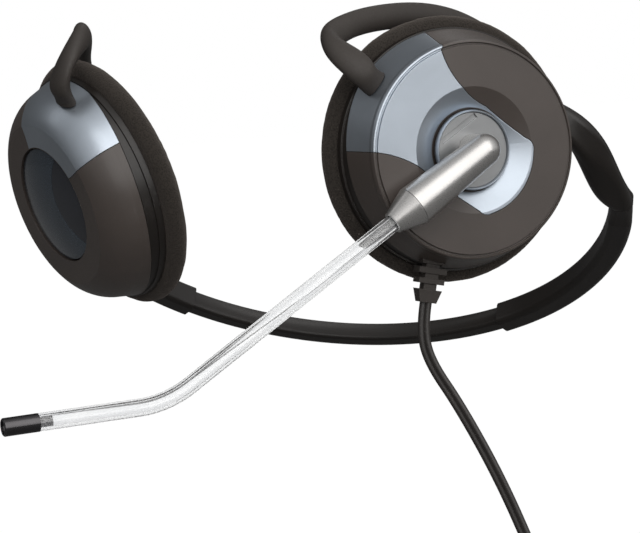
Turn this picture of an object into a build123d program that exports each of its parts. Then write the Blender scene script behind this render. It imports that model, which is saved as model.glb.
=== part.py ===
"""Behind-the-neck office headset with ear hooks, a sliding neckband and a clear voice tube.

Frame: millimetres, +Z up, the wearer looks along -Y, +X is the wearer's left.
The origin is the point midway between the centres of the two ear pads.
"""
import os
from math import cos, radians, sin, tan

from build123d import *

# ---------------------------------------------------------------- driving dimensions
CUP_SPAN = 90.0          # between the pads' centres
CUP_TOE = 49.5           # how far each cup's outer face turns forward of sideways, degrees
CUP_TILT = {"left": 0.0, "right": -12.5}    # outer face up (+) or down (-), degrees
CUP_CLOCK = {"left": 0.0, "right": 22.0}    # turn of the cup about its own axis, degrees

PAD_RADIUS = 33.0        # widest part of the ear pad, at the cup's z = 0
PAD_HOLE = 10.0
PAD_FRONT = -6.2         # the pad's ear side
PAD_BACK = 3.05
PAD_FLAT = 24.5          # flat ear side out to this radius

FACE_Z = 17.3            # flat outer face of the cap
FACE_RADIUS = 25.4       # flat face out to the groove
RIM_RADIUS = 26.9
RIM_Z = 15.3
SKIRT_RADIUS = 29.6
SKIRT_Z = 5.0
CAP_WALL = 1.5
DISH_RADIUS = 15.4       # mouth of the dish round the boom pivot
WELL_RADIUS = 10.05      # well that the pivot disc turns in
WELL_RIM_Z = 14.9
WELL_FLOOR_Z = 13.6
SKIN = 0.8               # thickness of the coloured inlay panel
SEAM = 0.16              # seam round the inlay panel
BADGE_RADIUS = 15.0

CRESCENT_ANGLE = -30.0   # the skirt's lower edge rises towards this side
CRESCENT_START = 11.0
CRESCENT_SLOPE = 0.135

FLOOR_Z = 3.2            # back shell floor, ear side
FLOOR_THICK = 1.5
DRIVER_OPENING = 13.8

BAND_RADIUS = 77.0       # centre line of the neckband's arc
BAND_CENTRE = (0.0, 41.7, -11.4)
BAND_SLOPE = 38.0        # the band's plane falls this much towards the nape, degrees
BAND_THICK = 4.6         # across, radially
BAND_HEIGHT = 5.4
SLEEVE_GAP = 0.15
SLEEVE_WALL = 0.75
SLEEVE_START = {"left": 21.0, "right": 50.0}   # sleeve ends, degrees from the nape
BAND_TIP = {"left": 43.0, "right": 64.0}       # ends of the centre band inside the sleeves
CHANNEL_END = {"left": 53.0, "right": 70.5}    # blind ends of the sleeves' channels
SLEEVE_END = 72.0        # the sleeve's round arc ends here
KNUCKLE = 77.5           # seam between arm and hook arm

HOOK_WIDE = 6.4          # ear hook section, radially
HOOK_THIN = 4.4          # and along the cup's axis
HOOK_PATH = [            # centre line round the cup: degrees above the front, radius, z
    (166.0, 33.8, -12.5), (150.0, 33.0, -13.0), (132.0, 32.4, -13.0), (112.0, 32.6, -12.2),
    (93.5, 33.3, -10.0), (73.0, 35.6, -6.4), (57.5, 39.2, -2.2), (48.2, 41.2, 2.0), (44.6, 39.4, 6.9)]
ROOT_SECTION = (7.0, 4.5)    # hook section where it meets the cap, round the cup and outwards
ROOT_ANGLE = 42.0        # hook root on the cap's side wall, degrees above the front
ROOT_Z = 10.6
PIN_RADIUS = 1.4
PIN_FIT = 0.06
CLIP_RADIUS = 2.4
WALL_GAP = 0.35          # hook end to cap wall

BOOM_ANGLE = -28.5       # rest angle of the boom, degrees above the front
BARREL_Z = 22.7
BARREL_START = 4.0       # radius at the elbow
BARREL_END = 5.1         # radius at the collet seam
COLLET_SEAM = 22.6
COLLET_TIP = 29.4
COLLET_TIP_RADIUS = 2.75
TUBE_RADIUS = 2.1
TUBE_BORE = 1.3
TUBE_START = 23.0        # inner end, in the collet
TUBE_REACH = 92.5        # straight part ends at this distance from the pivot
TUBE_BEND = 30.0         # degrees
TUBE_BEND_RADIUS = 26.0
TUBE_TAIL = 24.3
TIP_LENGTH = 8.5

RELIEF_ANGLE = -68.0     # strain relief on the side wall
RELIEF_LEAN = -74.0      # its direction
RELIEF_Z = 8.2
RELIEF_LENGTH = 9.5

CORD_WIDTH = 3.1         # twin lead, across both cores
LEAD_FIRST = 6.3         # straight out of the strain relief
LEAD_ROUTE = [(39.6, -16.6, -50.0), (46.0, -15.6, -62.2), (54.0, -14.9, -81.2), (60.5, -14.8, -101.5),
              (66.2, -17.4, -116.0), (66.2, -15.6, -130.0)]
TAIL_ROUTE = [(63.0, -15.5, -130.0), (64.3, -19.4, -144.0), (63.8, -19.9, -158.0), (63.7, -19.8, -170.0)]
COIL_CENTRE = (47.5, -16.1, -130.0)
COIL_ACROSS = (0.954, 0.3, 0.0)
COIL_FACING = (0.3, -0.954, 0.0)
COIL_RADIUS = 18.0
COIL_BUNDLE = 6.6

SIDES = ("left", "right")
SIGN = {"left": 1.0, "right": -1.0}


# ---------------------------------------------------------------- frames
def unit(vector):
    return vector.normalized()


def cup_plane(side):
    """The cup's own plane: z outwards, y up, x towards the rear (left) or front (right)."""
    toe = radians(CUP_TOE)
    tilt = radians(CUP_TILT[side])
    outward = Vector(SIGN[side] * cos(toe) * cos(tilt), -sin(toe) * cos(tilt), sin(tilt))
    across = unit(Vector(0, 0, 1).cross(outward))
    return Plane(origin=(SIGN[side] * CUP_SPAN / 2, 0, 0), x_dir=across, z_dir=outward)


def band_plane():
    slope = radians(BAND_SLOPE)
    return Plane(origin=BAND_CENTRE, x_dir=(0, cos(slope), -sin(slope)), z_dir=(0, sin(slope), cos(slope)))


def in_cup(side, shape):
    """Put a shape drawn for the left cup (front = -x, up = +y) on either cup."""
    if side == "right":
        shape = mirror(shape, about=Plane.YZ).rotate(Axis.Z, CUP_CLOCK[side])
    return cup_plane(side).location * shape


def cup_point(side, angle, radius, z):
    """World point from the cup's polar place: angle in degrees above the front."""
    turn = radians(angle + CUP_CLOCK[side])
    front = -1.0 if side == "left" else 1.0
    plane = cup_plane(side)
    x = front * radius * cos(turn)
    y = radius * sin(turn)
    return plane.origin + plane.x_dir * x + plane.y_dir * y + plane.z_dir * z


def band_point(side, angle, radius=BAND_RADIUS, lift=0.0):
    plane = band_plane()
    turn = radians(angle)
    return (plane.origin + plane.x_dir * (radius * cos(turn))
            - plane.y_dir * (SIGN[side] * radius * sin(turn)) + plane.z_dir * lift)


def revolved(points):
    """Turned solid from (radius, z) points."""
    wires = Plane.XZ * Polyline(*[(r, z) for r, z in points], close=True)
    return revolve(make_face(wires), axis=Axis.Z)


def disc(radius, low, high, x=0.0, y=0.0):
    return Pos(x, y, (low + high) / 2) * Cylinder(radius, high - low)


def polar(radius, angle):
    """Left-cup drawing coordinates of a place on the face."""
    return (-radius * cos(radians(angle)), radius * sin(radians(angle)))


# ---------------------------------------------------------------- cap and inlay panel
BEAD_WALL = [(FACE_RADIUS, FACE_Z), (FACE_RADIUS + 0.15, FACE_Z - 0.5), (FACE_RADIUS + 0.5, FACE_Z - 0.5),
             (FACE_RADIUS + 0.7, FACE_Z - 0.05), (FACE_RADIUS + 1.1, FACE_Z - 0.2),
             (RIM_RADIUS - 0.1, FACE_Z - 1.0), (RIM_RADIUS, RIM_Z), (SKIRT_RADIUS, SKIRT_Z)]
SHOULDER = [(21.6, FACE_Z), (26.3, 13.5), (28.4, 9.0)]    # the right cap's round shoulder
SHOULDER_SKIN = [(28.8, SKIRT_Z), (27.55, 9.0), (25.4, 13.0), (23.2, 15.4), (21.2, FACE_Z - SKIN),
                 (DISH_RADIUS + 0.2, FACE_Z - SKIN)]
SHOULDER_INSIDE = [(28.1, SKIRT_Z), (26.8, 9.0), (24.4, 13.2), (21.0, 15.3)]
LEFT_SKIN = [(SKIRT_RADIUS - SKIN, SKIRT_Z), (RIM_RADIUS - SKIN, RIM_Z), (FACE_RADIUS + 0.2, FACE_Z - 1.5),
             (FACE_RADIUS - 0.5, FACE_Z - SKIN), (DISH_RADIUS + 0.1, FACE_Z - SKIN),
             (WELL_RADIUS + 0.25, WELL_RIM_Z - SKIN)]


def under_surface(side, inside):
    """Turned solid between the cap's outer surface and a list of inner (radius, z) points."""
    if side == "left":
        outside = [Polyline(*BEAD_WALL)]
        start = BEAD_WALL[0]
    else:
        outside = [ThreePointArc(*SHOULDER), Line(SHOULDER[-1], (SKIRT_RADIUS, SKIRT_Z))]
        start = SHOULDER[0]
    edges = outside + [Polyline((SKIRT_RADIUS, SKIRT_Z), *inside, start)]
    return revolve(make_face(Plane.XZ * (Curve() + edges)), axis=Axis.Z)


def cap_solid(side):
    if side == "left":
        return under_surface(side, [
            (SKIRT_RADIUS - CAP_WALL, SKIRT_Z), (RIM_RADIUS - CAP_WALL - 0.2, FACE_Z - CAP_WALL - 0.4),
            (DISH_RADIUS + 0.6, FACE_Z - CAP_WALL - 0.2), (WELL_RADIUS + CAP_WALL, WELL_RIM_Z - CAP_WALL),
            (WELL_RADIUS + CAP_WALL, WELL_FLOOR_Z - 1.4), (4.2, WELL_FLOOR_Z - 1.4), (4.2, WELL_FLOOR_Z),
            (WELL_RADIUS, WELL_FLOOR_Z), (WELL_RADIUS, WELL_RIM_Z), (DISH_RADIUS, FACE_Z)])
    return under_surface(side, SHOULDER_INSIDE + [
        (DISH_RADIUS, FACE_Z - CAP_WALL - 0.4), (DISH_RADIUS - 1, FACE_Z - 3.2), (0, FACE_Z - 3.2),
        (0, FACE_Z - 1.8), (DISH_RADIUS, FACE_Z - 1.8), (DISH_RADIUS, FACE_Z)])


def skin_solid(side):
    """Band of material just under the outer surface, which the inlay panel is cut from."""
    if side == "left":
        well_edge = (WELL_RADIUS + 0.25, WELL_RIM_Z + 0.13)
        return under_surface(side, LEFT_SKIN + [well_edge, (DISH_RADIUS, FACE_Z)])
    return under_surface(side, SHOULDER_SKIN + [(DISH_RADIUS + 0.2, FACE_Z)])


def pocket_solid(side):
    """The same band of material, carried past the outer surface, for the cap's recess."""
    skin = LEFT_SKIN if side == "left" else SHOULDER_SKIN
    return revolved([(SKIRT_RADIUS + 4, SKIRT_Z - 1), (skin[0][0], SKIRT_Z - 1), *skin,
                     (skin[-1][0], FACE_Z + 4), (SKIRT_RADIUS + 4, FACE_Z + 4)])


def panel_outline(side):
    """Plan of the inlay: a quarter of the face, and on the left a leaf round the pivot."""
    far_top = polar(34, 86)
    far_front = polar(34, 6)
    edge = polar(25.3, 77)
    if side == "left":
        lines = [Line(far_top, edge), ThreePointArc(edge, (-1.0, 15.1), (5.2, 9.9)),
                 Line((5.2, 9.9), (14.2, 1.0)), ThreePointArc((14.2, 1.0), (15.7, -0.7), (15.7, -2.6)),
                 ThreePointArc((15.7, -2.6), (11.6, -11.2), (2.7, -15.9)),
                 ThreePointArc((2.7, -15.9), (0.9, -15.9), (-0.3, -14.9)), Line((-0.3, -14.9), (-13.0, -3.6)),
                 ThreePointArc((-13.0, -3.6), (-20.0, 0.9), far_front)]
    else:
        lines = [Line(far_top, edge), ThreePointArc(edge, (-4.2, 18.4), (-1.0, 13.0)),
                 Line((-1.0, 13.0), (-12.5, 2.0)), ThreePointArc((-12.5, 2.0), (-20.0, 1.2), far_front)]
    outside = ThreePointArc(far_front, polar(46, 45), far_top)
    return make_face(Curve() + lines + [outside])


def crescent_cutter(lift=0.0):
    """Space below the raised lower edge of the skirt, at the front and low on the cup."""
    x, y = polar(1.0, CRESCENT_ANGLE)
    hinge = Vector(x * CRESCENT_START, y * CRESCENT_START, SKIRT_Z + lift)
    frame = Plane(origin=hinge, z_dir=(-x * CRESCENT_SLOPE, -y * CRESCENT_SLOPE, 1))
    return frame.location * (Pos(0, 0, -20) * Box(200, 200, 40))


def root_axis():
    """Hook root on the left cup drawing: a point on the side wall and the wall's normal."""
    slope = (SKIRT_RADIUS - RIM_RADIUS) / (RIM_Z - SKIRT_Z)
    radius = RIM_RADIUS + (RIM_Z - ROOT_Z) * slope
    x, y = polar(1.0, ROOT_ANGLE)
    return Vector(x * radius, y * radius, ROOT_Z), unit(Vector(x, y, slope))


def root_cylinder(radius, start, length):
    point, normal = root_axis()
    frame = Plane(origin=point + normal * (start + length / 2), z_dir=normal)
    return frame.location * Cylinder(radius, length)


SCREW_PLACES = [polar(21.0, angle) for angle in (112.0, 215.0, 345.0)]


def make_cap_and_panel(side):
    cap = cap_solid(side)
    for x, y in SCREW_PLACES:
        boss = disc(2.4, FLOOR_Z + FLOOR_THICK + 0.1, FACE_Z - CAP_WALL, x, y)
        cap += boss
        cap -= disc(1.0, SKIRT_Z - 1, FACE_Z - CAP_WALL - 2, x, y)
    hole = root_cylinder(PIN_RADIUS + PIN_FIT, -6, 12)
    cap -= hole
    if side == "left":
        cap -= relief_socket()
    cap -= crescent_cutter()
    outline = panel_outline(side)
    skin = skin_solid(side) - crescent_cutter()
    pocket = pocket_solid(side) & extrude(offset(outline, SEAM), 30)
    cap -= pocket
    panel = (skin & extrude(outline, 30)) - hole
    return in_cup(side, cap), in_cup(side, panel)


# ---------------------------------------------------------------- back shell, grille, driver, pad
def make_back_shell(side):
    lip = SKIRT_RADIUS - CAP_WALL - 0.15
    shell = revolved([(DRIVER_OPENING, FLOOR_Z), (SKIRT_RADIUS + 0.5, FLOOR_Z),
                      (SKIRT_RADIUS + 0.35, SKIRT_Z - 0.1), (lip, SKIRT_Z - 0.1), (lip - 0.7, SKIRT_Z + 1.6),
                      (lip - 2.0, SKIRT_Z + 1.6), (lip - 2.0, FLOOR_Z + FLOOR_THICK),
                      (DRIVER_OPENING, FLOOR_Z + FLOOR_THICK)])
    collar = revolved([(SKIRT_RADIUS - 2.4, SKIRT_Z - 0.1), (SKIRT_RADIUS - 0.15, SKIRT_Z - 0.1),
                       (RIM_RADIUS - 0.15, RIM_Z), (RIM_RADIUS - 2.4, RIM_Z)])
    shell += (collar & crescent_cutter(-0.12))
    for x, y in SCREW_PLACES:
        shell -= disc(1.15, 0, 10, x, y)
        shell -= disc(2.0, 0, FLOOR_Z + 0.9, x, y)
    if side == "left":
        shell -= relief_socket()
    return in_cup(side, shell)


def make_screws(side):
    screws = []
    for x, y in SCREW_PLACES:
        head = disc(1.8, FLOOR_Z + 0.05, FLOOR_Z + 0.85, x, y)
        slot = Pos(x, y, FLOOR_Z + 0.05) * (Box(2.2, 0.5, 0.8) + Box(0.5, 2.2, 0.8))
        screws.append(head + disc(0.95, FLOOR_Z + 0.8, 11.5, x, y) - slot)
    return in_cup(side, Compound(children=screws))


def make_grille(side):
    plate = revolved([(0, FLOOR_Z + 0.2), (DRIVER_OPENING - 0.05, FLOOR_Z + 0.2),
                      (DRIVER_OPENING - 0.05, FLOOR_Z + 1.3), (0, FLOOR_Z + 1.0)])
    for ring, count in ((0.0, 1), (3.4, 6), (6.8, 12), (10.2, 18)):
        for step in range(count):
            x, y = polar(ring, 360 / count * step)
            plate -= disc(0.8, 0, 8, x, y)
    return in_cup(side, plate)


def make_driver(side):
    low = FLOOR_Z + FLOOR_THICK + 0.05
    frame = revolved([(15.0, low), (15.0, low + 1.2), (13.4, low + 2.4), (7.3, low + 2.4),
                      (7.3, low + 1.6), (12.2, low + 1.0), (12.2, low)])
    magnet = disc(7.2, low + 1.7, low + 4.9) + disc(5.5, low + 4.9, low + 5.2)
    diaphragm = revolved([(0, low + 0.75), (4.0, low + 0.35), (8.0, low + 0.75), (12.1, low + 0.25),
                          (12.1, low + 0.4), (8.0, low + 0.95), (4.0, low + 0.55), (0, low + 0.95)])
    return in_cup(side, frame), in_cup(side, magnet), in_cup(side, diaphragm)


def make_terminal_board(side):
    top = FLOOR_Z + FLOOR_THICK + 0.05
    x, y = polar(20.0, 180)
    board = Pos(x, y, top + 0.5) * Box(6, 9, 1.0)
    for step in (-3, -1, 1, 3):
        board += Pos(x, y + step, top + 1.25) * Cylinder(0.55, 0.5)
    return in_cup(side, board)


def make_pad(side):
    outer = Spline((30.2, PAD_BACK), (32.6, 1.9), (PAD_RADIUS, -0.2), (29.2, -3.4), (PAD_FLAT, PAD_FRONT))
    lines = [outer, Line((PAD_FLAT, PAD_FRONT), (PAD_HOLE + 1.8, PAD_FRONT)),
             Spline((PAD_HOLE + 1.8, PAD_FRONT), (PAD_HOLE, -2.5), (PAD_HOLE + 1.2, PAD_BACK)),
             Line((PAD_HOLE + 1.2, PAD_BACK), (30.2, PAD_BACK))]
    return in_cup(side, revolve(make_face(Plane.XZ * (Curve() + lines)), axis=Axis.Z))


def make_badge():
    """Domed emblem in the right cap's seat, in a main part and a darker wing."""
    low = FACE_Z - 1.75
    dome = revolve(make_face(Plane.XZ * (Curve() + [
        Line((0, low), (BADGE_RADIUS, low)), Line((BADGE_RADIUS, low), (BADGE_RADIUS, FACE_Z - 0.5)),
        ThreePointArc((BADGE_RADIUS, FACE_Z - 0.5), (BADGE_RADIUS * 0.55, FACE_Z + 1.1), (0, FACE_Z + 1.7)),
        Line((0, FACE_Z + 1.7), (0, low))])), axis=Axis.Z)
    wing_plan = Pos(-21.5, -6.5, 0) * Cylinder(17.2, 60)
    wing_gap = Pos(-21.5, -6.5, 0) * Cylinder(17.35, 60)
    return in_cup("right", dome - wing_gap), in_cup("right", dome & wing_plan)


# ---------------------------------------------------------------- boom
def boom_frame():
    """Axis along the barrel (x), drawn on the left cup."""
    x, y = polar(1.0, BOOM_ANGLE)
    return Plane(origin=(0, 0, BARREL_Z), x_dir=(x, y, 0), z_dir=(0, 0, 1))


def along(start, end, radius_start, radius_end):
    """Straight tapered solid along the barrel's axis, from start to end."""
    same = radius_start == radius_end
    solid = Cylinder(radius_start, end - start) if same else Cone(radius_start, radius_end, end - start)
    return Pos((start + end) / 2, 0, 0) * Rot(0, 90, 0) * solid


def make_boom():
    frame = boom_frame().location
    plate = disc(9.1, 13.9, 16.4) + disc(4.15, 11.2, 14.0)
    plate -= Pos(0, 0, 16.6) * Rot(0, 0, BOOM_ANGLE * -1) * Pos(0, 6.4, 0) * Box(11.0, 1.2, 1.2)
    ring = revolved([(9.15, 15.4), (9.7, 15.4), (9.75, 16.7), (9.45, 17.2), (9.15, 16.9)])
    barrel = along(0, COLLET_SEAM, BARREL_START, BARREL_END) + Sphere(BARREL_START)
    barrel += Pos(0, 0, (16.45 - BARREL_Z) / 2) * Cylinder(BARREL_START - 0.15, BARREL_Z - 16.45)
    barrel -= along(9.0, COLLET_SEAM + 1, 3.6, 3.6)
    capsule = along(15.2, 18.6, 3.0, 3.0) + along(14.4, 15.2, 2.2, 2.2)
    boot = along(14.3, 21.0, 3.55, 3.55) - along(15.1, 22, 3.05, 3.05) - along(14, 16, 2.3, 2.3)
    washer = disc(6.4, 11.25, 11.9) - disc(4.18, 10, 13)
    parts = [plate, ring, frame * barrel, frame * capsule, frame * boot, washer]
    return [in_cup("left", part) for part in parts]


def tube_path():
    """Voice tube's centre line in the barrel's own plane: straight, one bend, short tail."""
    bend = radians(TUBE_BEND)

    def on_bend(angle):
        return (TUBE_REACH + TUBE_BEND_RADIUS * sin(angle), -TUBE_BEND_RADIUS * (1 - cos(angle)))

    end = on_bend(bend)
    ahead = (cos(bend), -sin(bend))
    last = (end[0] + ahead[0] * TUBE_TAIL, end[1] + ahead[1] * TUBE_TAIL)
    path = Line((TUBE_START, 0), (TUBE_REACH, 0)) + ThreePointArc((TUBE_REACH, 0), on_bend(bend / 2), end)
    return path + Line(end, last), last, ahead


def make_voice_tube():
    frame = boom_frame().location
    path, last, ahead = tube_path()
    start = Plane(origin=(TUBE_START, 0, 0), z_dir=(1, 0, 0))
    tube = sweep(start * (Circle(TUBE_RADIUS) - Circle(TUBE_BORE)), path=path)
    collet = along(COLLET_SEAM + 0.12, COLLET_TIP, BARREL_END, COLLET_TIP_RADIUS)
    collet += along(COLLET_SEAM - 1.3, COLLET_SEAM + 0.2, 3.5, 3.5)
    collet -= along(20, TUBE_START, 1.4, 1.4)
    collet -= along(TUBE_START - 0.05, 31, TUBE_RADIUS + 0.02, TUBE_RADIUS + 0.02)
    tick = Pos(COLLET_SEAM + 1.6, 4.74, 0) * Rot(0, 0, -19) * Box(2.0, 0.5, 0.6)
    collet -= tick
    end_plane = Plane(origin=(*last, 0), x_dir=(0, 0, 1), z_dir=(*ahead, 0)).location
    ferrule = Pos(0, 0, TIP_LENGTH / 2) * Cylinder(TUBE_RADIUS + 0.05, TIP_LENGTH)
    ferrule += Pos(0, 0, -1.5) * Cylinder(TUBE_BORE - 0.03, 3.2)
    ferrule -= Pos(0, 0, 2.0) * Cylinder(0.8, TIP_LENGTH + 8)
    ferrule -= Pos(0, 0, TIP_LENGTH) * Cylinder(1.6, 2.4)
    mouth = ferrule.edges().filter_by(GeomType.CIRCLE).group_by(Axis.Z)[-1]
    ferrule = chamfer(mouth.sort_by(SortBy.RADIUS)[-1], 0.25)
    screen = Pos(0, 0, TIP_LENGTH - 0.9) * Cylinder(1.57, 0.5)
    for angle in range(0, 360, 60):
        x, y = polar(0.9, angle)
        screen -= disc(0.28, TIP_LENGTH - 2, TIP_LENGTH, x, y)
    mark = tick & along(COLLET_SEAM, COLLET_TIP, BARREL_END + 0.05, COLLET_TIP_RADIUS + 0.05)
    parts = [tube, collet, end_plane * ferrule, end_plane * screen, mark]
    return [in_cup("left", frame * part) for part in parts]


# ---------------------------------------------------------------- strain relief
def relief_frame():
    """Origin on the side wall, z along the relief, x across it, y outwards."""
    x, y = polar(SKIRT_RADIUS - 0.7, RELIEF_ANGLE)
    away_x, away_y = polar(1.0, RELIEF_LEAN)
    along_dir = Vector(away_x, away_y, 0)
    return Plane(origin=(x, y, RELIEF_Z), x_dir=Vector(0, 0, 1).cross(along_dir), z_dir=along_dir)


def relief_socket():
    return relief_frame().location * (Pos(0, 0, -1.0) * Box(6.1, 3.7, 8.0))


def make_relief():
    body = Pos(0, 0, -1.75) * Box(6.0, 3.6, 3.5)
    body += Pos(0, 0, 1.6) * Box(7.4, 3.8, 1.5)
    body += Pos(0, 0, 2.2) * Box(3.6, 2.8, 5.0)
    body += Pos(0, 0, 4.2) * Box(6.8, 3.6, 1.3)
    body += Pos(0, 0, 5.6) * Box(3.4, 2.6, 2.4)
    collar = loft([Pos(0, 0, 6.3) * Rectangle(6.2, 3.6), Pos(0, 0, RELIEF_LENGTH) * Rectangle(4.4, 2.8)])
    body += collar
    return in_cup("left", relief_frame().location * body)


# ---------------------------------------------------------------- neckband
def band_section(thick, height, corner):
    """Rounded section at the band's radius."""
    face = RectangleRounded(thick, height, corner)
    return Plane.XZ * (Pos(BAND_RADIUS, 0) * face)


def make_centre_band():
    """Springy middle of the neckband, with a shallow trough along the neck side."""
    section = band_section(BAND_THICK, BAND_HEIGHT, 1.1)
    trough = Plane.XZ * (Pos(BAND_RADIUS - BAND_THICK / 2 - 5.6, 0.7) * Circle(6.2))
    section -= trough
    whole = revolve(section, axis=Axis.Z, revolution_arc=BAND_TIP["left"] + BAND_TIP["right"])
    return band_plane().location * whole.rotate(Axis.Z, -BAND_TIP["left"])


def loft_section(point, ahead, wide_dir, wide, thin, corner=None):
    wide_dir = wide_dir - ahead * wide_dir.dot(ahead)
    frame = Plane(origin=point, x_dir=unit(wide_dir), z_dir=ahead)
    face = RectangleRounded(wide, thin, corner) if corner else Ellipse(wide / 2, thin / 2)
    return frame * face


def side_path(side):
    """Centre line from the neckband through the knuckle, round the ear, to the cup's wall."""
    places = [
        band_point(side, SLEEVE_END),
        band_point(side, KNUCKLE),
        band_point(side, KNUCKLE + 6.5) + Vector(-SIGN[side] * 3.2, -1.0, 1.2),
        band_point(side, KNUCKLE + 15.0) + Vector(-SIGN[side] * 5.8, -1.1, 5.6),
    ]
    for angle, radius, z in HOOK_PATH:
        shift = CUP_CLOCK[side] * max(0.0, (angle - 90.0) / (HOOK_PATH[0][0] - 90.0))
        places.append(cup_point(side, angle - shift, radius, z))
    return places


def make_arm(side):
    plane = band_plane()
    thick = BAND_THICK + 2 * (SLEEVE_GAP + SLEEVE_WALL)
    height = BAND_HEIGHT + 2 * (SLEEVE_GAP + SLEEVE_WALL)
    start = SLEEVE_START[side]
    outer = revolve(band_section(thick, height, 1.6), axis=Axis.Z, revolution_arc=SLEEVE_END - start)
    opening = band_section(BAND_THICK + 2 * SLEEVE_GAP, BAND_HEIGHT + 2 * SLEEVE_GAP, 1.15)
    channel = revolve(opening, axis=Axis.Z, revolution_arc=CHANNEL_END[side] - start + 2)
    if side == "left":
        outer = outer.rotate(Axis.Z, -SLEEVE_END)
        channel = channel.rotate(Axis.Z, -CHANNEL_END[side])
    else:
        outer = outer.rotate(Axis.Z, start)
        channel = channel.rotate(Axis.Z, start - 2)
    arm = plane.location * (outer - channel)
    first = band_point(side, SLEEVE_END)
    last = band_point(side, KNUCKLE)
    middle = band_point(side, (SLEEVE_END + KNUCKLE) / 2)
    radial = unit(first - plane.origin)
    ahead_first = unit(band_point(side, SLEEVE_END + 1) - band_point(side, SLEEVE_END - 1))
    ahead_mid = unit(last - first)
    ahead_last = unit(band_point(side, KNUCKLE + 1) - band_point(side, KNUCKLE - 1))
    knuckle = loft([loft_section(first, ahead_first, radial, thick, height, 1.6),
                    loft_section(middle, ahead_mid, radial, thick - 0.3, height - 0.3, 2.0),
                    loft_section(last, ahead_last, radial, thick - 0.1, height - 0.2, 2.4)])
    arm += knuckle
    socket = Plane(origin=last, x_dir=radial, z_dir=ahead_last).location
    arm -= socket * (Pos(0, 0, -2.0) * Box(2.1, 3.1, 4.2))
    return arm


def hook_arm_sections(side):
    path = side_path(side)
    plane = band_plane()
    ahead = unit(band_point(side, KNUCKLE + 1) - band_point(side, KNUCKLE - 1))
    radial = unit(path[1] - plane.origin)
    slanted = unit(radial + plane.z_dir * 0.8)
    outward = unit(path[4] - cup_plane(side).origin)
    to_hook = unit(path[4] - path[3])
    return [
        (path[1] + ahead * 0.2, ahead, radial, 6.4, 7.0, 2.4),
        (path[2], unit(path[3] - path[1]), unit(radial + plane.z_dir * 0.25), 8.6, 6.6, 2.4),
        (path[3], unit(path[4] - path[2]), slanted, 8.2, 5.6, 2.2),
        (path[3] + (path[4] - path[3]) * 0.62, to_hook, unit(slanted + outward), 6.9, 5.0, 2.2),
    ]


def make_hook_arm(side):
    """Hard plastic arm from the knuckle seam to the rubber ear hook, with its screw."""
    sections = hook_arm_sections(side)
    arm = loft([loft_section(*section) for section in sections])
    point, ahead, radial = sections[0][:3]
    arm += Plane(origin=point, x_dir=radial, z_dir=ahead).location * (Pos(0, 0, -1.8) * Box(2.0, 3.0, 4.0))
    facing = []
    for place, along_dir, wide_dir, wide, thin, corner in sections:
        wide_dir = unit(wide_dir - along_dir * wide_dir.dot(along_dir))
        facing.append(unit(wide_dir.cross(along_dir)) * (-SIGN[side]))
    groove = []
    for index in (1, 2, 3):
        place, along_dir, wide_dir, wide, thin, corner = sections[index]
        surface = place + facing[index] * (thin / 2 + 0.35)
        groove.append(loft_section(surface, along_dir, wide_dir, 3.0, 2.1, 0.5))
    arm -= loft(groove)
    place, along_dir, wide_dir, wide, thin, corner = sections[1]
    seat = place + unit(sections[0][0] - place) * 1.9
    spot = Plane(origin=seat, z_dir=facing[1]).location
    arm -= spot * (Pos(0, 0, thin / 2 - 1.0) * Cylinder(1.25, 2.6))
    arm -= spot * Cylinder(0.75, 5.0)
    screw = spot * (Pos(0, 0, thin / 2 - 1.75) * Cylinder(1.2, 1.0) + Pos(0, 0, 0.3) * Cylinder(0.7, 3.6))
    return arm, screw


def make_hook(side):
    """Rubber ear hook from the hook arm round the ear to the cap's wall, with its pin and clip."""
    path = side_path(side)
    cup = cup_plane(side)
    root, normal = root_axis()
    spots = in_cup(side, Compound(children=[Pos(*(root + normal * lift)) * Sphere(0.1)
                                            for lift in (4.6, -0.6)]))
    leave, wall = [Vector(*ball.center()) for ball in spots.solids()]
    inward = unit(wall - leave)
    points = [path[3] + (path[4] - path[3]) * 0.63] + path[4:] + [leave, wall]
    last = len(points) - 1
    sections = []
    for index, point in enumerate(points):
        before = points[max(index - 1, 0)]
        after = points[min(index + 1, last)]
        ahead = unit(after - before)
        wide_dir = unit(ahead.cross(cup.z_dir))
        wide, thin = HOOK_WIDE, HOOK_THIN
        if index == 0:
            arm_end = unit(hook_arm_sections(side)[3][2])
            wide_dir = arm_end if arm_end.dot(wide_dir) > 0 else -arm_end
            wide, thin = 6.7, 4.9
        if index >= last - 1:
            ahead = inward
            wide_dir = unit(ahead.cross(cup.z_dir))
            wide, thin = ROOT_SECTION
        sections.append(loft_section(point, ahead, wide_dir, wide, thin))
    hook = loft(sections)
    clear = revolved([(0, -2), (SKIRT_RADIUS + 1.7, -2), (RIM_RADIUS + WALL_GAP - 0.3, RIM_Z + 1.2),
                      (0, RIM_Z + 1.2)])
    hook -= in_cup(side, clear)
    hook -= in_cup(side, root_cylinder(PIN_RADIUS + 0.01, -4, 9.5))
    pin = root_cylinder(PIN_RADIUS, -4.1, 9.3)
    clip = root_cylinder(CLIP_RADIUS, -3.6, 0.6) - root_cylinder(PIN_RADIUS + 0.01, -5, 6)
    return hook, in_cup(side, pin), in_cup(side, clip)


# ---------------------------------------------------------------- cord
def cord_tube(points):
    """Round tube along straight runs joined by arcs as large as the runs allow."""
    places = [Vector(point) for point in points]
    radii = []
    for before, here, after in zip(places, places[1:], places[2:]):
        turn = radians((here - before).get_angle(after - here))
        run = min((here - before).length, (after - here).length)
        radii.append(0.45 * run / tan(turn / 2))
    print("cord radii", [round(radius, 1) for radius in radii])
    path = FilletPolyline(*places, radius=radii)
    start = Plane(origin=places[0], z_dir=unit(places[1] - places[0]))
    tube = sweep(start * Circle(CORD_WIDTH / 2), path=path)
    print("cord tube", round(path.length, 1), "volume ratio",
          round(tube.volume / (path.length * 3.14159265 * CORD_WIDTH ** 2 / 4), 4))
    return tube


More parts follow.
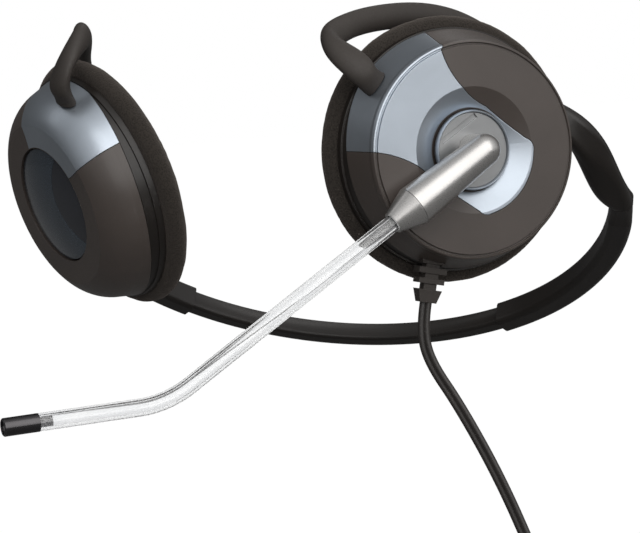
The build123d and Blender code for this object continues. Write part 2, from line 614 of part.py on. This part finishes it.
def make_cord():
    coil_frame = Plane(origin=COIL_CENTRE, x_dir=COIL_ACROSS, z_dir=COIL_FACING)
    coil = coil_frame.location * Torus(COIL_RADIUS, COIL_BUNDLE)
    relief = Plane(cup_plane("left").location * relief_frame().location)
    leave = relief.origin + relief.z_dir * RELIEF_LENGTH
    lead = cord_tube([leave, leave + relief.z_dir * LEAD_FIRST, *LEAD_ROUTE]) - coil
    tail = cord_tube(TAIL_ROUTE) - coil
    band = Pos(0, COIL_RADIUS, 0) * Rot(0, 90, 0) * Cylinder(COIL_BUNDLE + 1.1, 4.0)
    tie = coil_frame.location * band - coil
    end = Vector(*TAIL_ROUTE[-1])
    down = unit(end - Vector(*TAIL_ROUTE[-2]))
    plug_frame = Plane(origin=end, z_dir=down).location
    body = Pos(0, 0, 4.5) * Cone(2.3, 3.6, 9.0) + Pos(0, 0, 16.0) * Cylinder(3.9, 14.0)
    body += Pos(0, 0, 23.6) * Cylinder(3.2, 1.2)
    jack = Pos(0, 0, 29.9) * Cylinder(1.75, 11.4) + Pos(0, 0, 37.0) * Cone(1.75, 0.7, 2.8)
    return lead, coil, tail, tie, plug_frame * body, plug_frame * jack


# ---------------------------------------------------------------- build and write
def build():
    nodes = {"centre_band": make_centre_band()}
    for side in SIDES:
        cap, panel = make_cap_and_panel(side)
        frame, magnet, diaphragm = make_driver(side)
        hook_arm, screw = make_hook_arm(side)
        hook, pin, clip = make_hook(side)
        own = {"cap": cap, "inlay_panel": panel, "back_shell": make_back_shell(side),
               "cup_screws": make_screws(side),
               "speaker_grille": make_grille(side), "driver_frame": frame, "driver_magnet": magnet,
               "driver_diaphragm": diaphragm, "terminal_board": make_terminal_board(side),
               "ear_pad": make_pad(side), "arm": make_arm(side), "hook_arm": hook_arm, "arm_screw": screw,
               "ear_hook": hook, "hook_pin": pin, "hook_clip": clip}
        nodes.update({f"{side}_{name}": shape for name, shape in own.items()})
    nodes["badge_dome"], nodes["badge_wing"] = make_badge()
    boom_names = ("pivot_disc", "pivot_ring", "boom_barrel", "mic_capsule", "mic_boot", "boom_washer")
    nodes.update(zip(boom_names, make_boom()))
    tube_names = ("voice_tube", "tube_collet", "tube_tip", "tip_screen", "collet_mark")
    nodes.update(zip(tube_names, make_voice_tube()))
    nodes["strain_relief"] = make_relief()
    cord_names = ("cord_lead", "cord_coil", "cord_tail", "cord_tie", "plug_body", "plug_jack")
    nodes.update(zip(cord_names, make_cord()))
    return nodes


def main():
    os.makedirs("parts", exist_ok=True)
    for name, shape in build().items():
        solids = shape.solids()
        whole = solids[0] if len(solids) == 1 else Compound(children=list(solids))
        export_step(whole, f"parts/{name}.step")


main()
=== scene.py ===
"""Looks of a behind-the-neck office headset: materials, foam pads, cord, light and camera."""
from math import cos, pi, radians, sin

import bpy
from mathutils import Matrix, Vector, noise


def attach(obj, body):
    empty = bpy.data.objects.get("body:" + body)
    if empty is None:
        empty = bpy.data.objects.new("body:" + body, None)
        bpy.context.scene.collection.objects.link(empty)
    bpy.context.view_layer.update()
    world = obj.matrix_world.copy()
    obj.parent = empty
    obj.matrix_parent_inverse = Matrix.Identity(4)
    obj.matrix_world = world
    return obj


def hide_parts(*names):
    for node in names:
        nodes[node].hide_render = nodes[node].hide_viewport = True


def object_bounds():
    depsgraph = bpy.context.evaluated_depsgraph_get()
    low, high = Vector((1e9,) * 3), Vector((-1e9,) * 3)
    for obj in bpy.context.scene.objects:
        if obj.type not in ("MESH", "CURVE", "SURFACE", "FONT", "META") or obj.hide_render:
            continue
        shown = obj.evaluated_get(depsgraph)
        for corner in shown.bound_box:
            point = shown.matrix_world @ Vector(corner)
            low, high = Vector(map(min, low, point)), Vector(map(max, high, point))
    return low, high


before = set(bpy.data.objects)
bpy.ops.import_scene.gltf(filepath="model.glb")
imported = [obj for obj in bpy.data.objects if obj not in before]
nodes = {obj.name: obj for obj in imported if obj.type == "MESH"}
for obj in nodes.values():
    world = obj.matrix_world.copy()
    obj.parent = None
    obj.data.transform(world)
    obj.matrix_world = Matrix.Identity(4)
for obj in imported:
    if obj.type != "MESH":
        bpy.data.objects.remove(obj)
cad_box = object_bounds()
SIDES = ("left", "right")

# ---------------------------------------------------------------- camera
CAMERA_PLACE = Vector((0.2535, -0.7126, 0.0492))
CAMERA_FORWARD = Vector((-0.323, 0.941, -0.100))
CAMERA_UP = Vector((0.080, 0.132, 0.988))
CAMERA_LENS = 168.75
CAMERA_SENSOR = 36.0


def make_camera():
    data = bpy.data.cameras.new("camera")
    data.sensor_width = CAMERA_SENSOR
    data.sensor_fit = "HORIZONTAL"
    data.lens = CAMERA_LENS
    data.clip_start = 0.01
    data.clip_end = 20.0
    camera = bpy.data.objects.new("camera", data)
    bpy.context.scene.collection.objects.link(camera)
    back = -CAMERA_FORWARD.normalized()
    right = CAMERA_UP.cross(back).normalized()
    up = back.cross(right)
    turn = Matrix((right, up, back)).transposed()
    camera.matrix_world = Matrix.Translation(CAMERA_PLACE) @ turn.to_4x4()
    bpy.context.scene.camera = camera


make_camera()


# ---------------------------------------------------------------- materials
ROUGHER = 0.07
SMOOTHER = 0.05
LEAST_ROUGH = 0.02
NOISE_SPAN = (0.3, 0.7)
EDGE_SPAN = (0.97, 0.80)
EDGE_WEAR = 0.55
FOAM_CELLS = 2400.0
FOAM_SHEEN = (0.6, 0.52, 0.47, 1.0)
CLEAR_PALE = (0.97, 0.97, 0.97)
CLEAR_GREY = (0.86, 0.87, 0.88)
SMUDGE_SCALE = 160.0


def link(tree, source, output, target, socket):
    tree.links.new(source.outputs[output], target.inputs[socket])


def noise_node(tree, scale, detail=3.0, distortion=0.0):
    coords = tree.nodes.get("coords") or tree.nodes.new("ShaderNodeTexCoord")
    coords.name = "coords"
    made = tree.nodes.new("ShaderNodeTexNoise")
    made.inputs["Scale"].default_value = scale
    made.inputs["Detail"].default_value = detail
    made.inputs["Distortion"].default_value = distortion
    link(tree, coords, "Object", made, "Vector")
    return made


def colour_mix(tree, first, second):
    made = tree.nodes.new("ShaderNodeMix")
    made.data_type = "RGBA"
    made.inputs[6].default_value = (*first, 1.0)
    made.inputs[7].default_value = (*second, 1.0)
    return made


def ranged(tree, low, high, to_low, to_high):
    made = tree.nodes.new("ShaderNodeMapRange")
    made.inputs["From Min"].default_value = low
    made.inputs["From Max"].default_value = high
    made.inputs["To Min"].default_value = to_low
    made.inputs["To Max"].default_value = to_high
    return made


def surface(name, colour, roughness, metallic=0.0, mottle=0.14, patches=55.0, grain=2600.0, bump=0.10,
            depth=0.00006, worn=None, edge=0.00022, constants=None):
    """Moulded, lacquered or metal surface: uneven colour, fine grain, rounded and slightly worn edges."""
    material = bpy.data.materials.new(name)
    material.use_nodes = True
    tree = material.node_tree
    shader = tree.nodes["Principled BSDF"]
    shader.inputs["Metallic"].default_value = metallic
    for socket, value in (constants or {}).items():
        shader.inputs[socket].default_value = value
    broad = noise_node(tree, patches, 4.0, 0.4)
    dark = [c * (1 - mottle) for c in colour]
    pale = [min(1.0, c * (1 + mottle)) for c in colour]
    tint = colour_mix(tree, dark, pale)
    spread = ranged(tree, *NOISE_SPAN, 0.0, 1.0)
    link(tree, broad, "Fac", spread, "Value")
    link(tree, spread, "Result", tint, 0)
    fine = noise_node(tree, grain, 2.0)
    smoothest = max(LEAST_ROUGH, roughness - SMOOTHER)
    rough = ranged(tree, *NOISE_SPAN, smoothest, min(1.0, roughness + ROUGHER))
    link(tree, fine, "Fac", rough, "Value")
    link(tree, rough, "Result", shader, "Roughness")
    rounded = tree.nodes.new("ShaderNodeBevel")
    rounded.samples = 4
    rounded.inputs["Radius"].default_value = edge
    relief = tree.nodes.new("ShaderNodeBump")
    relief.inputs["Strength"].default_value = bump
    relief.inputs["Distance"].default_value = depth
    link(tree, fine, "Fac", relief, "Height")
    link(tree, rounded, "Normal", relief, "Normal")
    link(tree, relief, "Normal", shader, "Normal")
    if worn:
        geometry = tree.nodes.new("ShaderNodeNewGeometry")
        compare = tree.nodes.new("ShaderNodeVectorMath")
        compare.operation = "DOT_PRODUCT"
        link(tree, rounded, "Normal", compare, 0)
        link(tree, geometry, "Normal", compare, 1)
        amount = ranged(tree, *EDGE_SPAN, 0.0, EDGE_WEAR)
        link(tree, compare, "Value", amount, "Value")
        rubbed = colour_mix(tree, colour, worn)
        link(tree, tint, 2, rubbed, 6)
        link(tree, amount, "Result", rubbed, 0)
        link(tree, rubbed, 2, shader, "Base Color")
    else:
        link(tree, tint, 2, shader, "Base Color")
    return material


def foam_material(name, colour):
    """Open-cell foam: dark pores between paler cell walls."""
    material = bpy.data.materials.new(name)
    material.use_nodes = True
    tree = material.node_tree
    shader = tree.nodes["Principled BSDF"]
    shader.inputs["Roughness"].default_value = 0.95
    shader.inputs["Specular IOR Level"].default_value = 0.2
    shader.inputs["Sheen Weight"].default_value = 0.25
    shader.inputs["Sheen Roughness"].default_value = 0.6
    shader.inputs["Sheen Tint"].default_value = FOAM_SHEEN
    coords = tree.nodes.new("ShaderNodeTexCoord")
    cells = tree.nodes.new("ShaderNodeTexVoronoi")
    cells.inputs["Scale"].default_value = FOAM_CELLS
    link(tree, coords, "Object", cells, "Vector")
    pores = ranged(tree, 0.10, 0.55, 1.0, 0.0)
    link(tree, cells, "Distance", pores, "Value")
    tint = colour_mix(tree, [c * 1.5 for c in colour], [c * 0.45 for c in colour])
    link(tree, pores, "Result", tint, 0)
    link(tree, tint, 2, shader, "Base Color")
    relief = tree.nodes.new("ShaderNodeBump")
    relief.inputs["Strength"].default_value = 0.5
    relief.inputs["Distance"].default_value = 0.0002
    link(tree, cells, "Distance", relief, "Height")
    link(tree, relief, "Normal", shader, "Normal")
    return material


def clear_material(name):
    """Clear plastic tube: faint smudges and a slight cool tint."""
    material = bpy.data.materials.new(name)
    material.use_nodes = True
    tree = material.node_tree
    shader = tree.nodes["Principled BSDF"]
    shader.inputs["Transmission Weight"].default_value = 0.95
    shader.inputs["IOR"].default_value = 1.50
    shader.inputs["Metallic"].default_value = 0.0
    smudge = noise_node(tree, SMUDGE_SCALE, 3.0)
    tint = colour_mix(tree, CLEAR_GREY, CLEAR_PALE)
    link(tree, smudge, "Fac", tint, 0)
    link(tree, tint, 2, shader, "Base Color")
    rough = ranged(tree, *NOISE_SPAN, 0.03, 0.08)
    link(tree, smudge, "Fac", rough, "Value")
    link(tree, rough, "Result", shader, "Roughness")
    return material


BLACK = surface("black_plastic", (0.013, 0.0105, 0.009), 0.33, worn=(0.05, 0.043, 0.039),
                constants={"Specular IOR Level": 0.42})
SHELL = surface("shell_plastic", (0.064, 0.052, 0.046), 0.36, patches=35.0, worn=(0.12, 0.11, 0.10))
INLAY = surface("silver_blue_lacquer", (0.41, 0.455, 0.51), 0.35, metallic=0.88, mottle=0.08, grain=5200.0,
                bump=0.16, worn=(0.62, 0.66, 0.70), constants={"Coat Weight": 0.15, "Coat Roughness": 0.15})
DISC = surface("disc_lacquer", (0.26, 0.265, 0.27), 0.34, metallic=0.85, mottle=0.10, grain=5200.0,
               bump=0.14, worn=(0.55, 0.56, 0.57))
STEEL = surface("zinc_steel", (0.50, 0.50, 0.51), 0.28, metallic=1.0, grain=4000.0)
DARK_METAL = surface("dark_nickel", (0.085, 0.082, 0.085), 0.26, metallic=1.0, grain=4000.0,
                     worn=(0.4, 0.4, 0.4))
SILVER = surface("satin_silver", (0.52, 0.51, 0.50), 0.30, metallic=0.92, mottle=0.07, grain=5200.0,
                 bump=0.12, worn=(0.65, 0.64, 0.63), constants={"Coat Weight": 0.2, "Coat Roughness": 0.2})
RUBBER = surface("soft_rubber", (0.040, 0.034, 0.030), 0.58, grain=1700.0, bump=0.25, depth=0.0001,
                 worn=(0.06, 0.052, 0.047), constants={"Specular IOR Level": 0.38})
FOAM = foam_material("pad_foam", (0.019, 0.016, 0.0135))
BADGE = surface("badge_lacquer", (0.07, 0.09, 0.115), 0.22, metallic=0.70, mottle=0.12, patches=90.0,
                constants={"Coat Weight": 0.6, "Coat Roughness": 0.06})
BADGE_DARK = surface("badge_dark_gloss", (0.020, 0.022, 0.028), 0.18, patches=70.0,
                     constants={"Coat Weight": 0.4, "Coat Roughness": 0.08})
NYLON = surface("nylon", (0.62, 0.61, 0.57), 0.5)
BOARD = surface("solder_mask", (0.02, 0.14, 0.05), 0.35, patches=400.0)
FILM = surface("driver_film", (0.5, 0.49, 0.44), 0.25, patches=300.0, mottle=0.2)
# Plain white for the short dash on the collet (collet_mark); the script gives it no cause.
WHITE_DASH = surface("white_dash", (0.80, 0.80, 0.78), 0.45, patches=600.0, mottle=0.06)
VINYL = surface("cord_vinyl", (0.024, 0.020, 0.018), 0.38, patches=90.0, grain=1500.0, bump=0.12)
GOLD = surface("gold_plate", (0.80, 0.58, 0.26), 0.22, metallic=1.0, grain=4500.0, worn=(0.9, 0.75, 0.5))
CLEAR = clear_material("clear_tube")

SIDE_MATERIALS = {
    "cap": SHELL, "inlay_panel": INLAY, "back_shell": BLACK, "cup_screws": STEEL, "speaker_grille": BLACK,
    "driver_frame": BLACK, "driver_magnet": STEEL, "driver_diaphragm": FILM, "terminal_board": BOARD,
    "ear_pad": FOAM, "arm": BLACK, "hook_arm": BLACK, "arm_screw": STEEL, "ear_hook": RUBBER,
    "hook_pin": STEEL, "hook_clip": STEEL}
NODE_MATERIALS = {
    "centre_band": BLACK, "badge_dome": BADGE, "badge_wing": BADGE_DARK, "pivot_disc": DISC,
    "pivot_ring": INLAY, "boom_barrel": SILVER, "mic_capsule": STEEL, "mic_boot": RUBBER,
    "boom_washer": NYLON, "voice_tube": CLEAR, "tube_collet": SILVER, "tube_tip": DARK_METAL,
    "tip_screen": STEEL, "collet_mark": WHITE_DASH, "strain_relief": RUBBER, "cord_lead": VINYL,
    "cord_coil": VINYL, "cord_tail": VINYL, "cord_tie": BLACK, "plug_body": BLACK, "plug_jack": GOLD}


def dress_nodes():
    chosen = dict(NODE_MATERIALS)
    for side in SIDES:
        for name, material in SIDE_MATERIALS.items():
            chosen[f"{side}_{name}"] = material
    for name, thing in nodes.items():
        thing.data.materials.clear()
        thing.data.materials.append(chosen[name])


dress_nodes()


# ---------------------------------------------------------------- cord
MM = 0.001
RELIEF_END = Vector((40.102, -14.967, -35.928))
RELIEF_WAY = Vector((-0.2096, -0.1790, -0.9613))
LEAD_FIRST = 6.3
LEAD_ROUTE = [(39.6, -16.6, -50.0), (46.0, -15.6, -62.2), (54.0, -14.9, -81.2), (60.5, -14.8, -101.5),
              (66.2, -17.4, -116.0)]
COIL_CENTRE = Vector((47.5, -16.1, -130.0))
COIL_ACROSS = Vector((0.954, 0.3, 0.0))
COIL_FACING = Vector((0.3, -0.954, 0.0))
COIL_RADIUS = 18.0
TURNS = 14
POINTS_PER_TURN = 16
TAIL_ROUTE = [(64.3, -19.4, -144.0), (63.8, -19.9, -158.0), (63.7, -19.8, -170.0)]
CORE = 0.80
CORE_APART = 0.75
CORE_SWEEP = 280.0
CORE_POINTS = 11
CORD_TILT = radians(-45)
INNER_RING = 2.19
OUTER_RING = 5.05
OUTER_STEP = 35.8
MOVE_OVER_FROM = 0.55


def turn_places():
    """Where each turn lies in the bundle, as (outwards, towards the front), first turn to last."""
    inner = [(angle, INNER_RING) for angle in (90.0, 180.0, 270.0, 0.0)]
    outer = [(90.0 - OUTER_STEP * step, OUTER_RING) for step in range(1, 10)]
    rings = [(90.0, OUTER_RING)] + inner + outer
    return [(radius * cos(radians(angle)), radius * sin(radians(angle))) for angle, radius in rings]


def cord_points():
    """The route in metres: lead, turns that each move over to the next place near their end, and tail."""
    points = [RELIEF_END, RELIEF_END + RELIEF_WAY * LEAD_FIRST] + [Vector(p) for p in LEAD_ROUTE]
    places = turn_places()
    for step in range(TURNS * POINTS_PER_TURN + 1):
        turn = min(step // POINTS_PER_TURN, TURNS - 1)
        share = max(0.0, (step / POINTS_PER_TURN - turn - MOVE_OVER_FROM) / (1 - MOVE_OVER_FROM))
        share = share * share * (3 - 2 * share)
        here = places[turn]
        after = places[min(turn + 1, TURNS - 1)]
        outwards = here[0] + (after[0] - here[0]) * share
        forwards = here[1] + (after[1] - here[1]) * share
        angle = -2 * pi * step / POINTS_PER_TURN
        arm = COIL_ACROSS * cos(angle) + Vector((0, 0, 1)) * sin(angle)
        points.append(COIL_CENTRE + arm * (COIL_RADIUS + outwards) + COIL_FACING * forwards)
    return [p * MM for p in points + [Vector(p) for p in TAIL_ROUTE]]


def twin_section():
    """Section of the twin lead: two round cores joined by a thin web."""
    data = bpy.data.curves.new("twin_section", "CURVE")
    data.dimensions = "2D"
    places = []
    for side in (1, -1):
        for step in range(CORE_POINTS):
            angle = radians(CORE_SWEEP * (step / (CORE_POINTS - 1) - 0.5))
            places.append((side * (CORE_APART + CORE * cos(angle)), side * CORE * sin(angle)))
    spline = data.splines.new("POLY")
    spline.points.add(len(places) - 1)
    for point, (x, y) in zip(spline.points, places):
        point.co = (x * MM, y * MM, 0, 1)
    spline.use_cyclic_u = True
    section = bpy.data.objects.new("twin_section", data)
    bpy.context.scene.collection.objects.link(section)
    section.hide_render = True
    section.hide_viewport = True
    return section


def make_cord():
    data = bpy.data.curves.new("cord", "CURVE")
    data.dimensions = "3D"
    data.twist_mode = "MINIMUM"
    data.bevel_mode = "OBJECT"
    data.bevel_object = twin_section()
    data.use_fill_caps = True
    data.resolution_u = 8
    points = cord_points()
    spline = data.splines.new("NURBS")
    spline.points.add(len(points) - 1)
    for point, place in zip(spline.points, points):
        point.co = (*place, 1.0)
        point.tilt = CORD_TILT
    spline.order_u = 3
    spline.use_endpoint_u = True
    data.materials.append(VINYL)
    cord = bpy.data.objects.new("cord", data)
    bpy.context.scene.collection.objects.link(cord)
    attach(cord, "left_cup")
    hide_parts("cord_lead", "cord_coil", "cord_tail")


make_cord()


# ---------------------------------------------------------------- foam pads
PAD_VOXEL = 0.0008
PAD_SMOOTHINGS = 6
PAD_LUMP = 0.00012
LUMP_SCALE = 160.0
DIMPLE_SCALE = 420.0
DIMPLE_SHARE = 0.25


def make_foam_pad(side):
    """The pad's own soft body: evenly meshed, rounded off and gently uneven, as cut foam is."""
    solid = nodes[f"{side}_ear_pad"]
    rough = bpy.data.objects.new("rough_pad", solid.data.copy())
    bpy.context.scene.collection.objects.link(rough)
    remesh = rough.modifiers.new("remesh", "REMESH")
    remesh.mode = "VOXEL"
    remesh.voxel_size = PAD_VOXEL
    smooth = rough.modifiers.new("smooth", "SMOOTH")
    smooth.factor = 0.5
    smooth.iterations = PAD_SMOOTHINGS
    graph = bpy.context.evaluated_depsgraph_get()
    mesh = bpy.data.meshes.new_from_object(rough.evaluated_get(graph))
    bpy.data.objects.remove(rough)
    for vertex in mesh.vertices:
        lump = noise.noise(vertex.co * LUMP_SCALE) + DIMPLE_SHARE * noise.noise(vertex.co * DIMPLE_SCALE)
        vertex.co = vertex.co + vertex.normal * lump * PAD_LUMP
    mesh.shade_smooth()
    mesh.materials.clear()
    mesh.materials.append(FOAM)
    pad = bpy.data.objects.new(f"{side}_foam_pad", mesh)
    bpy.context.scene.collection.objects.link(pad)
    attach(pad, f"{side}_cup")
    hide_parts(f"{side}_ear_pad")


for side in SIDES:
    make_foam_pad(side)


# ---------------------------------------------------------------- light and stage
SOFT_SIDE = (0.66, -0.66, 0.36)
DARK_SIDE_LEVEL = 0.08
DARK_SIDE_FROM = -0.30
FLOOR_COLOUR = (0.20, 0.20, 0.20, 1.0)
FLOOR_GLOW = 1.04
FLOOR_GLOW_SHARE = 0.97
FLOOR_GAP = 0.02
FLOOR_REACH = 4.0


def area_light(name, place, target, size, power, colour=(1.0, 1.0, 1.0)):
    data = bpy.data.lights.new(name, "AREA")
    data.shape = "RECTANGLE"
    data.size = size[0]
    data.size_y = size[1]
    data.energy = power
    data.color = colour
    lamp = bpy.data.objects.new(name, data)
    lamp.location = place
    lamp.rotation_mode = "QUATERNION"
    lamp.rotation_quaternion = (Vector(target) - Vector(place)).to_track_quat("-Z", "Y")
    bpy.context.scene.collection.objects.link(lamp)


def seen_node(tree):
    """1 where the camera sees a thing, straight or through the tube, and 0 where it only lights others."""
    path = tree.nodes.new("ShaderNodeLightPath")
    seen = tree.nodes.new("ShaderNodeMath")
    seen.operation = "MAXIMUM"
    link(tree, path, "Is Camera Ray", seen, 0)
    link(tree, path, "Is Transmission Ray", seen, 1)
    return seen


def floor_material():
    """Bright sweep of paper: seen white, though it throws little light back."""
    material = bpy.data.materials.new("floor_white")
    material.use_nodes = True
    tree = material.node_tree
    shader = tree.nodes["Principled BSDF"]
    shader.inputs["Base Color"].default_value = FLOOR_COLOUR
    shader.inputs["Roughness"].default_value = 0.9
    shader.inputs["Specular IOR Level"].default_value = 0.1
    glow = tree.nodes.new("ShaderNodeEmission")
    glow.inputs["Strength"].default_value = FLOOR_GLOW
    blend = tree.nodes.new("ShaderNodeMixShader")
    share = tree.nodes.new("ShaderNodeMath")
    share.operation = "MULTIPLY"
    share.inputs[1].default_value = FLOOR_GLOW_SHARE
    link(tree, seen_node(tree), "Value", share, 0)
    link(tree, share, "Value", blend, 0)
    link(tree, shader, "BSDF", blend, 1)
    link(tree, glow, "Emission", blend, 2)
    link(tree, blend, "Shader", tree.nodes["Material Output"], "Surface")
    return material


def make_world():
    """White to the eye; its light comes mostly from one wide soft side, as in a studio."""
    world = bpy.data.worlds.new("studio")
    world.use_nodes = True
    tree = world.node_tree
    sky = tree.nodes["Background"]
    coords = tree.nodes.new("ShaderNodeTexCoord")
    towards = tree.nodes.new("ShaderNodeVectorMath")
    towards.operation = "DOT_PRODUCT"
    towards.inputs[1].default_value = SOFT_SIDE
    level = ranged(tree, DARK_SIDE_FROM, 1.0, DARK_SIDE_LEVEL, 1.0)
    link(tree, coords, "Generated", towards, 0)
    link(tree, towards, "Value", level, "Value")
    strength = tree.nodes.new("ShaderNodeMix")
    strength.inputs[3].default_value = 1.0
    link(tree, seen_node(tree), "Value", strength, 0)
    link(tree, level, "Result", strength, 2)
    link(tree, strength, 0, sky, "Strength")
    sky.inputs["Color"].default_value = (1.0, 1.0, 1.0, 1.0)
    bpy.context.scene.world = world


def make_stage():
    """White floor under the headset, one large soft key from the front right, two faint edge lights."""
    make_world()
    bpy.context.scene.view_settings.view_transform = "Standard"
    low = cad_box[0].z - FLOOR_GAP
    corners = [(x * FLOOR_REACH, y * FLOOR_REACH, low) for x, y in ((-1, -1), (1, -1), (1, 1), (-1, 1))]
    mesh = bpy.data.meshes.new("floor")
    mesh.from_pydata(corners, [], [(0, 1, 2, 3)])
    mesh.materials.append(floor_material())
    floor = bpy.data.objects.new("floor", mesh)
    bpy.context.scene.collection.objects.link(floor)
    area_light("key", (0.75, -0.75, 0.60), (0.04, 0, 0), (1.5, 1.5), 9.5, (1.0, 0.985, 0.96))
    area_light("left_edge", (-0.9, -0.25, 0.75), (0, 0, 0), (0.25, 0.6), 0.35)
    area_light("rim", (0.1, 0.8, 0.7), (0, 0.02, 0), (0.6, 0.3), 0.6)


make_stage()
